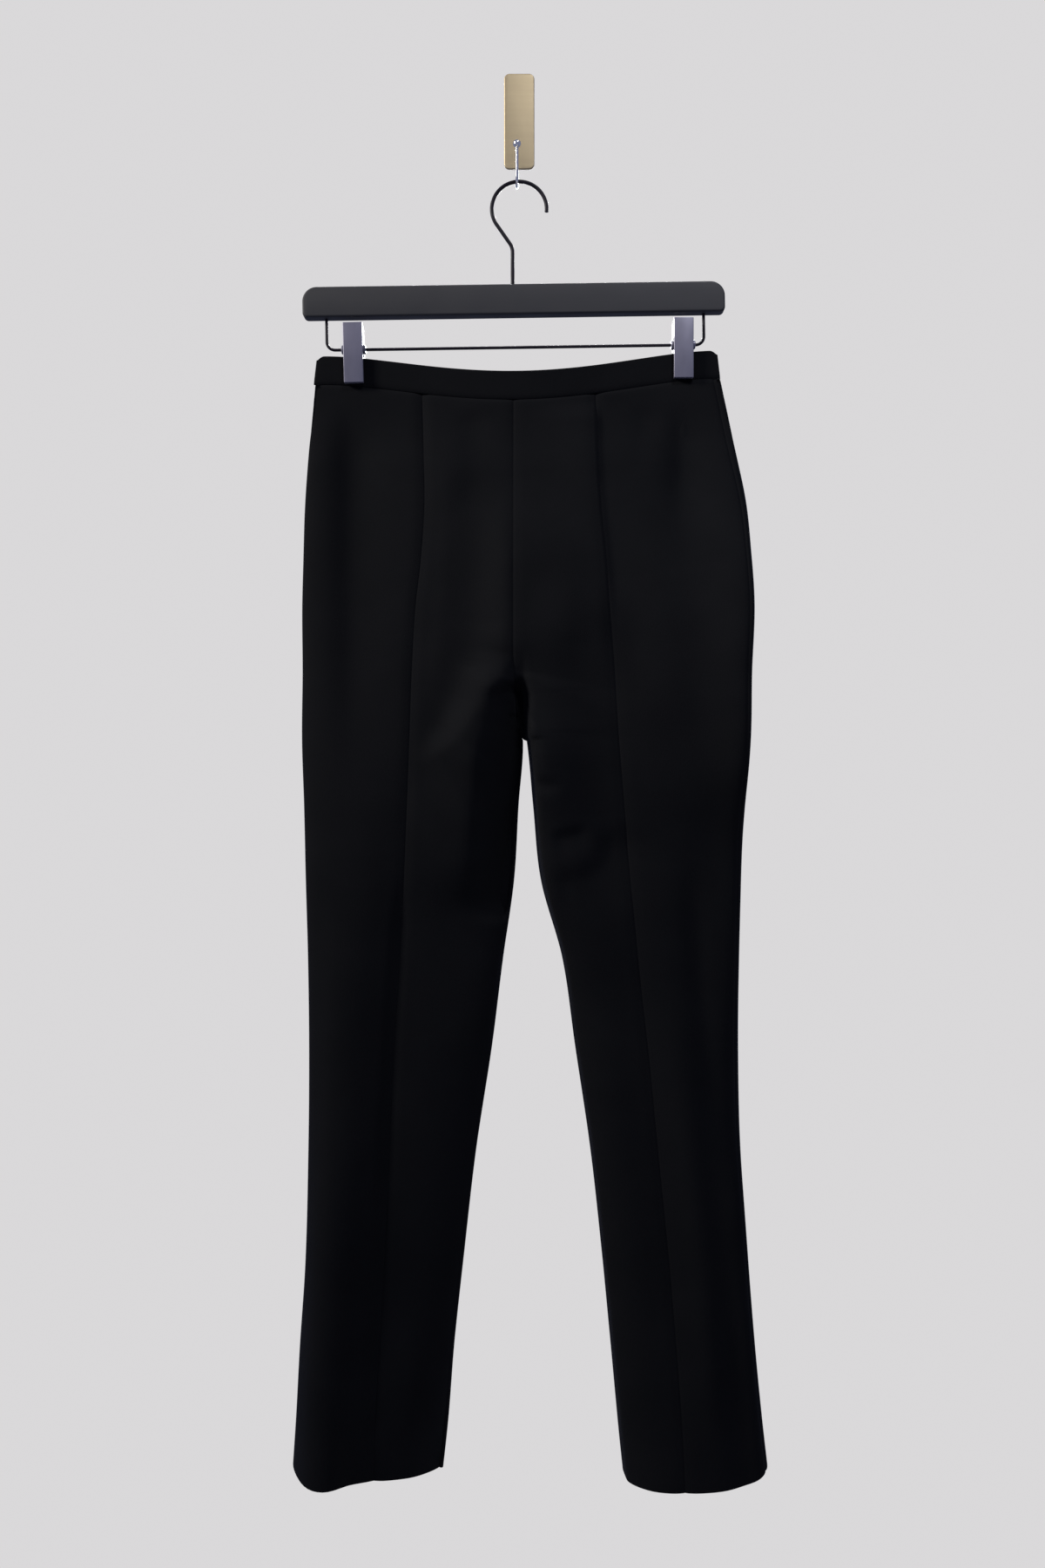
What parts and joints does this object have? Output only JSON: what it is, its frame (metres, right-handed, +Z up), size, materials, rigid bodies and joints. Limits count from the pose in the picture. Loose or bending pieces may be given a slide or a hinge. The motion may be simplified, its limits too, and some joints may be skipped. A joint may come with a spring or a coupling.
{
  "type": "slim panelled trousers on a clip hanger and wall hook",
  "caption": "Slim black trousers with long panel seams, hung by the waistband from a clip hanger on a small wall hook.",
  "frame": {"origin": "middle of the wall plate's flat back face, where the wall hook is fixed to the wall", "axes": "+Z up, +Y into the wall, +X to the right of someone who faces the wall"},
  "size_m": [0.4266, 0.0695, 1.2743],
  "materials": {
    "brushed_plate": "warm nickel, brushed across",
    "polished_wire": "bright nickel wire",
    "black_wire": "black satin coating",
    "charcoal_bar": "charcoal satin paint",
    "clip_plastic": "dark grey satin plastic",
    "waistband_cloth": "black crepe knit, doubled",
    "trouser_cloth": "black smooth crepe knit"
  },
  "bodies": {
    "root": {"wall_plate": "brushed_plate", "wall_hook": "polished_wire", "hanger_hook": "black_wire", "hanger_bar": "charcoal_bar", "clip_rod": "black_wire", "clip_left_near_arm": "clip_plastic", "clip_left_far_arm": "clip_plastic", "clip_left_sleeve": "clip_plastic", "clip_right_near_arm": "clip_plastic", "clip_right_far_arm": "clip_plastic", "clip_right_sleeve": "clip_plastic", "waistband_back": "waistband_cloth", "waistband_front": "waistband_cloth", "back_centre_left": "trouser_cloth", "back_centre_right": "trouser_cloth", "back_side_left": "trouser_cloth", "back_side_right": "trouser_cloth", "front_left": "trouser_cloth", "front_right": "trouser_cloth"}
  },
  "joints": []
}
